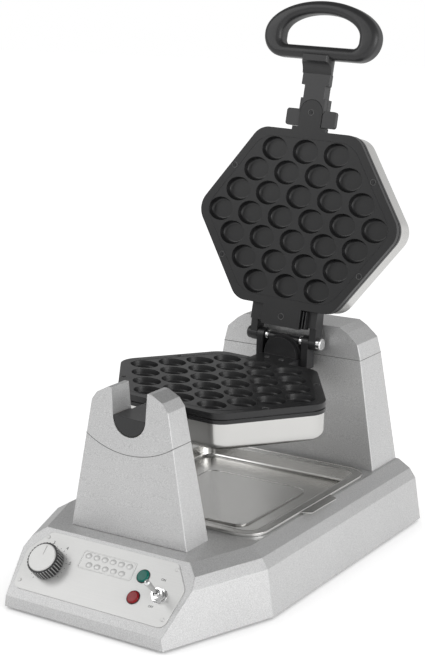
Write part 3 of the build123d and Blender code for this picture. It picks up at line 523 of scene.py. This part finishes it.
def ring(name, radius, thickness, place, body, slot, material=None, turns=48, sides=10):
    """A round ring lying flat on a place."""
    work = bmesh.new()
    bmesh.ops.create_circle(work, segments=sides, radius=thickness / 2 * MM)
    bmesh.ops.rotate(work, matrix=Matrix.Rotation(math.pi / 2, 3, "X"), verts=work.verts)
    bmesh.ops.translate(work, vec=(radius * MM, 0.0, 0.0), verts=work.verts)
    bmesh.ops.spin(work, geom=work.verts[:] + work.edges[:], cent=(0, 0, 0), axis=(0, 0, 1), dvec=(0, 0, 0),
                   angle=2 * math.pi, steps=turns, use_merge=True)
    bmesh.ops.remove_doubles(work, verts=work.verts, dist=0.001 * MM)
    bmesh.ops.recalc_face_normals(work, faces=work.faces[:])
    for face in work.faces:
        face.smooth = True
    bmesh.ops.transform(work, matrix=place, verts=work.verts)
    return piece_from(work, name, body, slot, material)


ridge_finish = brushed("ridge metal", (0.45, 0.45, 0.45), (0.6, 0.6, 0.6), 0.2, (1.0, 1.0, 1.0), 700.0)
knob_ridges()
for name, s in (("green", 52.9), ("red", 30.9)):
    ring(name + "_lamp_ring", LAMP_RING, 0.9, on_panel(LAMP_X, s, PLATE_TOP + 0.3), "base", "black_metal")
ring("switch_washer", 7.6, 0.8, on_panel(*SWITCH, PLATE_TOP + 0.2), "base", "chrome")
ring("switch_thread_ring", 5.3, 0.7, on_panel(*SWITCH, PLATE_TOP + 6.6), "base", "chrome")
print("ridges and rings")

# %% [markdown]
# Both cooking plates have a fine line cast round the field of cups, a little way in from
# the rim. The line is the plate's own outline drawn in, as a low raised band.

# %% Cast line round the cups
PLATE_POINT = 125.5
PLATE_FLAT = 94.5
PLATE_FLAT_HALF = 59.5
HALF_GAP = 0.2


def plate_outline(inset):
    run = PLATE_POINT - PLATE_FLAT_HALF
    point = PLATE_POINT - inset * math.hypot(run, PLATE_FLAT) / PLATE_FLAT
    flat = PLATE_FLAT - inset
    half = point - run * flat / PLATE_FLAT
    return ((point, 0.0), (half, flat), (-half, flat), (-point, 0.0), (-half, -flat), (half, -flat))


LINE_INSET = 8.5
LINE_CORNER = 14.0
lower_face = iron_place @ Matrix.Translation((0.0, 0.0, -HALF_GAP * MM))
upper_face = lid_place @ Matrix.Translation((0.0, 0.0, HALF_GAP * MM)) @ Matrix.Rotation(math.pi, 4, "X")
for name, place, body in (("lower_plate_line", lower_face, "iron"), ("upper_plate_line", upper_face, "lid")):
    outline_band(name, plate_outline(LINE_INSET), LINE_CORNER, 0.7, 0.15, place, body, "nonstick")
print("cast lines")

# %% [markdown]
# Where a cap meets its post the hairline gap shows as a fine dark line, laid on as painted
# shade in a dark strip, and the tray's rim is rolled into a thin bead. Both are a small section
# carried along a line of points: a flat strip for the joint and a round bead for the rim.

# %% Joint lines and rolled rims
BASE_LENGTH = 426.0
BASE_TOP = 67.0
FRONT_POST_Y = -BASE_LENGTH / 2 + 74.3 + SHIFT
FRONT_POST_DEPTH = 37.0
FRONT_POST_HALF = 67.9
FRONT_EDGE = (44.5, 196.5)
FRONT_LEAN = 2.66
FRONT_BACK_LEAN = 1.2
SEAM_RADIUS = 94.0
SEAM_LOW = 148.5
REAR_POST_DEPTH = 54.5
REAR_POST_HALF = 105.4
REAR_SHOULDER = (86.0, 187.4)
REAR_LEAN = 1.8
REAR_SEAM = 185.8
JOINT_LIFT = 0.06
JOINT_WIDTH = 0.45
JOINT_THICK = 0.08


def joint_strip(name, points, outward):
    """A thin upright ribbon of painted shade through points, standing a hair proud of the wall behind it."""
    work = bmesh.new()
    rows = []
    rise = Vector((0.0, 0.0, JOINT_WIDTH / 2))
    for point in points:
        place = Vector(point) + Vector(outward) * JOINT_LIFT
        rows.append([work.verts.new((place + side * rise) * MM) for side in (-1, 1)])
    for first, second in zip(rows, rows[1:]):
        work.faces.new((first[0], second[0], second[1], first[1]))
    bmesh.ops.recalc_face_normals(work, faces=work.faces[:])
    # The strip's dark colour is painted shade of the gap where cap and post meet.
    piece = piece_from(work, name, "base", "black_metal", seam_painted_shade)
    thick = piece.modifiers.new("thickness", "SOLIDIFY")
    thick.thickness = JOINT_THICK * MM
    thick.offset = 0.0


def arc_height(x):
    return SEAM_LOW + SEAM_RADIUS - math.sqrt(SEAM_RADIUS ** 2 - x ** 2)


def front_joint():
    """The arc ends where it meets the leaning side; a few rounds of both sums find that point."""
    drop = (FRONT_POST_HALF - FRONT_EDGE[0]) / (FRONT_EDGE[1] - BASE_TOP)
    lean = math.tan(math.radians(FRONT_LEAN))
    half = FRONT_EDGE[0]
    for index in range(12):
        half = FRONT_POST_HALF - drop * (arc_height(half) - BASE_TOP)
    points = []
    for index in range(41):
        x = half * (index / 20.0 - 1.0)
        z = arc_height(x)
        points.append((x, FRONT_POST_Y + (z - BASE_TOP) * lean, z))
    joint_strip("front_joint_line", points, (0.0, -1.0, 0.0))
    x, near, z = points[-1]
    far = FRONT_POST_Y + FRONT_POST_DEPTH - (z - BASE_TOP) * math.tan(math.radians(FRONT_BACK_LEAN))
    for side in (-1, 1):
        ends = [(side * x, near, z), (side * x, far, z)]
        joint_strip("front_joint_side_%d" % (side + 1), ends, (side, 0.0, 0.0))


def rear_joint():
    drop = (REAR_POST_HALF - REAR_SHOULDER[0]) / (REAR_SHOULDER[1] - BASE_TOP)
    half = REAR_POST_HALF - drop * (REAR_SEAM - BASE_TOP)
    back = BASE_LENGTH / 2 + SHIFT
    drift = (REAR_SEAM - BASE_TOP) * math.tan(math.radians(REAR_LEAN))
    near = back - REAR_POST_DEPTH + drift
    far = back - drift
    for name, y, out in (("rear_joint_front", near, -1.0), ("rear_joint_back", far, 1.0)):
        joint_strip(name, [(-half, y, REAR_SEAM), (half, y, REAR_SEAM)], (0.0, out, 0.0))
    for side in (-1, 1):
        ends = [(side * half, near, REAR_SEAM), (side * half, far, REAR_SEAM)]
        joint_strip("rear_joint_side_%d" % (side + 1), ends, (side, 0.0, 0.0))


def rounded_loop(corners, radius, steps=8):
    """Points of a closed outline with its corners rounded."""
    points = []
    count = len(corners)
    for index in range(count):
        here = Vector(corners[index])
        back = (Vector(corners[index - 1]) - here).normalized()
        on = (Vector(corners[(index + 1) % count]) - here).normalized()
        half = back.angle(on) / 2
        centre = here + (back + on).normalized() * radius / math.sin(half)
        start = here + back * radius / math.tan(half)
        stop = here + on * radius / math.tan(half)
        for step in range(steps + 1):
            toward = (start - centre).lerp(stop - centre, step / steps).normalized()
            points.append(centre + toward * radius)
    return points


def tray_bead(name, half, front, back, corner, height, radius, sides=8):
    """A round bead along a level rectangle with rounded corners."""
    points = rounded_loop(((half, front), (half, back), (-half, back), (-half, front)), corner)
    work = bmesh.new()
    rings = []
    count = len(points)
    for index in range(count):
        along = (points[(index + 1) % count] - points[index - 1]).normalized()
        out = Vector((along.y, -along.x))
        ring_verts = []
        for side in range(sides):
            angle = 2 * math.pi * side / sides
            flat = points[index] + out * radius * math.cos(angle)
            rise = height + radius * math.sin(angle)
            ring_verts.append(work.verts.new((flat.x * MM, flat.y * MM, rise * MM)))
        rings.append(ring_verts)
    for index in range(count):
        first = rings[index]
        second = rings[(index + 1) % count]
        for side in range(sides):
            after = (side + 1) % sides
            work.faces.new((first[side], first[after], second[after], second[side]))
    bmesh.ops.recalc_face_normals(work, faces=work.faces[:])
    for face in work.faces:
        face.smooth = True
    return piece_from(work, name, "tray", "stainless")


TRAY_HALF = 106.0
TRAY_FRONT = -78.0 + SHIFT
TRAY_BACK = 151.0 + SHIFT
TRAY_TOP = 69.7
TRAY_DEPTH = 15.0
TRAY_RIM = 10.0
RIM_BEAD = 0.7
RIM_CORNER = 23.3
FINE_BEAD = 0.6
PAN_CORNER = 14.0
PAD_HALF = 61.0
PAD_FRONT = -31.0 + SHIFT
PAD_BACK = 96.0 + SHIFT
PAD_CORNER = 12.0
PAD_RISE = 2.2
# Painted shade for the joint lines: a dark colour standing in for the shadow in the gap.
seam_painted_shade = dark_coat("joint shadow", (0.05, 0.05, 0.05), (0.09, 0.09, 0.09), 0.6, 900.0, 0.000005)
front_joint()
rear_joint()
tray_bead("tray_rim_bead", TRAY_HALF - RIM_BEAD, TRAY_FRONT + RIM_BEAD, TRAY_BACK - RIM_BEAD, RIM_CORNER,
          TRAY_TOP, RIM_BEAD)
tray_bead("tray_pan_bead", TRAY_HALF - TRAY_RIM, TRAY_FRONT + TRAY_RIM, TRAY_BACK - TRAY_RIM, PAN_CORNER,
          TRAY_TOP - 0.35, FINE_BEAD)
tray_bead("tray_pad_bead", PAD_HALF, PAD_FRONT, PAD_BACK, PAD_CORNER, TRAY_TOP - TRAY_DEPTH + PAD_RISE,
          FINE_BEAD)
print("joint lines and beads")

# %% [markdown]
# The hinge and the plates carry small screws: a bright ring, and a dark six-sided disc as painted shade of the
# socket.
# A round cover stands before the hinge rod, with a bright stub of the pin at each ear, two
# ribs stiffen the lid's arm, and a web joins the front journal to the plate.

# %% Screws and hinge details


def round_bar(name, radius, length, place, body, slot, material=None, edge=0.5, sides=40):
    """A short round bar along the Z of a place, with softened ends."""
    work = bmesh.new()
    bmesh.ops.create_cone(work, cap_ends=True, segments=sides, radius1=radius * MM, radius2=radius * MM,
                          depth=length * MM)
    rims = [item for item in work.edges if item.calc_face_angle(0.0) > 1.0]
    bmesh.ops.bevel(work, geom=rims, offset=edge * MM, offset_type="OFFSET", affect="EDGES", segments=3,
                    profile=0.5, material=-1)
    for face in work.faces:
        face.smooth = len(face.verts) == 4
    bmesh.ops.transform(work, matrix=place, verts=work.verts)
    return piece_from(work, name, body, slot, material)


def socket_screw(name, radius, place, body):
    """Ring round a screw head, and a dark six-sided disc in its middle that is painted shade of the socket hole.
    """
    ring(name + "_ring", radius, 0.7, place, body, "black_metal", screw_grey, 32, 8)
    # The socket is not cut: this dark disc is painted shade of the recess.
    round_bar(name + "_socket", radius * 0.42, 0.5, place, body, "black_metal", ink_and_socket_shade, 0.05, 6)


def along_y(place, x, y, z):
    """A place in another's frame, turned so that its Z runs along that frame's Y."""
    return place @ Matrix.Translation(Vector((x, y, z)) * MM) @ Matrix.Rotation(math.pi / 2, 4, "X")


def on_pin(x):
    return iron_place @ Matrix.Translation((x * MM, HINGE.y, HINGE.z)) @ Matrix.Rotation(math.pi / 2, 4, "Y")


screw_grey = dark_coat("screw ring", (0.10, 0.10, 0.10), (0.17, 0.17, 0.17), 0.3, 900.0, 0.00001)
RIM_SCREW_INSET = 7.4
RIM_X = (PLATE_POINT + PLATE_FLAT_HALF) / 2 - RIM_SCREW_INSET
RIM_Y = 49.25
RIM_SCREW = 3.1
for index, (x, y) in enumerate(((RIM_X, RIM_Y), (-RIM_X, RIM_Y), (-RIM_X, -RIM_Y), (RIM_X, -RIM_Y))):
    for half, place, body, height in (("lower", iron_place, "iron", -0.5), ("upper", lid_place, "lid", 0.5)):
        spot = place @ Matrix.Translation(Vector((x, y, height)) * MM)
        socket_screw("%s_rim_screw_%d" % (half, index), RIM_SCREW, spot, body)
for name, y in (("tongue", 105.0), ("handle", -114.0)):
    spot = lid_place @ Matrix.Translation((0.0, y * MM, 0.45 * MM))
    socket_screw(name + "_screw_detail", 3.2, spot, "lid")
cover_place = along_y(iron_place, 0.0, 123.15, 0.0)
round_bar("hinge_cover", 22.8, 0.9, cover_place, "iron", "black_metal", None, 0.3, 64)
STUB_MIDDLE = 21.4
STUB_RADIUS = 5.4
STUB_LENGTH = 4.4
for name, x in (("left", -STUB_MIDDLE), ("right", STUB_MIDDLE)):
    round_bar("pin_stub_" + name, STUB_RADIUS, STUB_LENGTH, on_pin(x), "iron", "chrome", None, 0.7)
STUB_SOCKET_X = -19.2
# The dark six-sided disc on the left stub is painted shade of the pin's socket.
round_bar("pin_stub_socket", 2.3, 0.4, on_pin(STUB_SOCKET_X), "iron", "black_metal", ink_and_socket_shade, 0.05, 6)
RIB_SIZE = (1.3, 19.0, 9.0)
for index, x in enumerate((26.0, 29.4)):
    place = lid_place @ Matrix.Translation(Vector((x, 105.0, 6.0)) * MM)
    bar("arm_rib_%d" % index, place, RIB_SIZE, "lid", "black_metal", None, 0.0, 0.3)
WEB_SIZE = (33.0, 33.4, 3.0)
web_place = iron_place @ Matrix.Translation((0.0, -112.2 * MM, -2.0 * MM))
bar("journal_web", web_place, WEB_SIZE, "iron", "black_metal", None, 0.0, 0.4)
journal_spot = iron_place @ Matrix.Translation((4.0 * MM, -138.0 * MM, -0.5 * MM))
socket_screw("journal_screw_detail", 3.4, journal_spot, "iron")
print("screws and hinge details")

# %% [markdown]
# The picture was taken in a white studio: a floor with no edge, and soft light from all
# sides with more from the right. The floor glows for the camera and, less, for mirrored
# rays, so it shows white and the metal picks it up, but it lights nothing. The glow fades
# where the machine covers the floor, which leaves a shadow along its foot. The sky is
# bright round the horizon and dark above, and plain white to the camera.

# %% Floor and backdrop
FLOOR_HALF = 6.0
FLOOR_GLOW = 2.6
FLOOR_SHARE = 0.32
MIRROR_SHARE = 0.7
CONTACT_REACH = 0.12
CONTACT_FADE = 0.85
HORIZON = 0.8
ZENITH = 0.25
LEFT_SHARE = 0.75
RIGHT_SHARE = 1.35


def stage_sheet():
    work = bmesh.new()
    bmesh.ops.create_grid(work, x_segments=1, y_segments=1, size=FLOOR_HALF)
    mesh = bpy.data.meshes.new("studio_floor")
    work.to_mesh(mesh)
    work.free()
    floor = bpy.data.objects.new("studio_floor", mesh)
    bpy.context.scene.collection.objects.link(floor)
    return floor


def floor_finish():
    finish = Finish("studio white")
    grain = finish.noise(6.0, 1.0)
    finish.set(Base_Color=finish.colours(grain, (0.9, 0.9, 0.9), (0.92, 0.92, 0.92)))
    finish.set(Roughness=0.9)
    glow = finish.tree.nodes.new("ShaderNodeEmission")
    glow.inputs["Strength"].default_value = FLOOR_GLOW
    seen = finish.node("ShaderNodeLightPath", out="Is Camera Ray")
    mirrored = finish.node("ShaderNodeLightPath", out="Is Glossy Ray")
    mixed = finish.tree.nodes.new("ShaderNodeMixShader")
    open_sky = finish.node("ShaderNodeAmbientOcclusion", {"samples": 16}, {"Distance": CONTACT_REACH}, "AO")
    fade = open_sky * CONTACT_FADE + (1.0 - CONTACT_FADE)
    share = (seen + mirrored * MIRROR_SHARE) * fade * FLOOR_SHARE
    finish.tree.links.new(share.socket, mixed.inputs[0])
    finish.tree.links.new(finish.surface.outputs[0], mixed.inputs[1])
    finish.tree.links.new(glow.outputs[0], mixed.inputs[2])
    finish.tree.links.new(mixed.outputs[0], finish.tree.nodes["Material Output"].inputs[0])
    return finish.material


floor = stage_sheet()
floor.data.materials.append(floor_finish())


def studio_sky():
    """White to the eye; as a light it is bright low down, most so on the right, and dark above."""
    world = bpy.data.worlds.new("studio")
    world.use_nodes = True
    tree = world.node_tree
    direction = tree.nodes.new("ShaderNodeTexCoord")
    parts = tree.nodes.new("ShaderNodeSeparateXYZ")
    tree.links.new(direction.outputs["Generated"], parts.inputs[0])
    height = tree.nodes.new("ShaderNodeValToRGB")
    stops = height.color_ramp.elements
    stops[0].position = 0.0
    stops[0].color = (HORIZON, HORIZON, HORIZON, 1.0)
    stops[1].position = 0.75
    stops[1].color = (ZENITH, ZENITH, ZENITH, 1.0)
    tree.links.new(parts.outputs["Z"], height.inputs["Fac"])
    side = tree.nodes.new("ShaderNodeMapRange")
    side.inputs["From Min"].default_value = -1.0
    side.inputs["To Min"].default_value = LEFT_SHARE
    side.inputs["To Max"].default_value = RIGHT_SHARE
    tree.links.new(parts.outputs["X"], side.inputs["Value"])
    light = tree.nodes.new("ShaderNodeVectorMath")
    light.operation = "SCALE"
    tree.links.new(height.outputs["Color"], light.inputs[0])
    tree.links.new(side.outputs["Result"], light.inputs["Scale"])
    seen = tree.nodes.new("ShaderNodeLightPath")
    white = tree.nodes.new("ShaderNodeMix")
    white.data_type = "RGBA"
    white.inputs["B"].default_value = (1.0, 1.0, 1.0, 1.0)
    tree.links.new(light.outputs["Vector"], white.inputs["A"])
    tree.links.new(seen.outputs["Is Camera Ray"], white.inputs["Factor"])
    tree.links.new(white.outputs["Result"], tree.nodes["Background"].inputs["Color"])
    return world


bpy.context.scene.world = studio_sky()
print("floor and sky")

# %% [markdown]
# Two large soft lamps shape the machine: a weak one high on the left, and a stronger one
# low on the right that makes the right-hand walls the brightest.

# %% Lamps


def soft_lamp(name, place, aim, size, power):
    data = bpy.data.lights.new(name, "AREA")
    data.shape = "RECTANGLE"
    data.size = size[0]
    data.size_y = size[1]
    data.energy = power
    lamp = bpy.data.objects.new(name, data)
    bpy.context.scene.collection.objects.link(lamp)
    lamp.location = place
    lamp.rotation_euler = (Vector(aim) - Vector(place)).to_track_quat("-Z", "Y").to_euler()
    return lamp


soft_lamp("left_soft", (-1.1, -1.0, 1.3), (0, 0, 0.25), (0.9, 0.9), 6.0)
soft_lamp("right_soft", (1.8, -0.3, 0.7), (0, 0, 0.2), (1.4, 1.0), 12.0)
print("two soft lamps")

# %% [markdown]
# The camera stands where the photographer stood: to the right of the machine, a little
# above it, with a long lens. Its place and its lens come from the grids of cups, whose
# true spacing is known.

# %% Camera
IMAGE_WIDTH = 425.0
FOCAL_PIXELS = 1551.6
CAMERA_PLACE = (836.8 * MM, -1247.8 * MM + CENTRE_SHIFT, 614.7 * MM)
CAMERA_AZIMUTH = math.radians(33.66)
CAMERA_ELEVATION = math.radians(13.96)
CAMERA_ROLL = math.radians(-0.303)
back = Vector((math.sin(CAMERA_AZIMUTH) * math.cos(CAMERA_ELEVATION),
               -math.cos(CAMERA_AZIMUTH) * math.cos(CAMERA_ELEVATION), math.sin(CAMERA_ELEVATION)))
level = Vector((0, 0, 1)).cross(back).normalized()
upward = back.cross(level)
right = math.cos(CAMERA_ROLL) * level + math.sin(CAMERA_ROLL) * upward
up = -math.sin(CAMERA_ROLL) * level + math.cos(CAMERA_ROLL) * upward
lens = bpy.data.cameras.new("view")
lens.sensor_fit = "HORIZONTAL"
lens.sensor_width = 36.0
lens.lens = FOCAL_PIXELS * lens.sensor_width / IMAGE_WIDTH
camera = bpy.data.objects.new("view", lens)
bpy.context.scene.collection.objects.link(camera)
camera.matrix_world = Matrix.Translation(CAMERA_PLACE) @ Matrix((right, up, back)).transposed().to_4x4()
bpy.context.scene.camera = camera
bpy.context.scene.view_settings.view_transform = "Standard"
print("lens", round(lens.lens, 2))
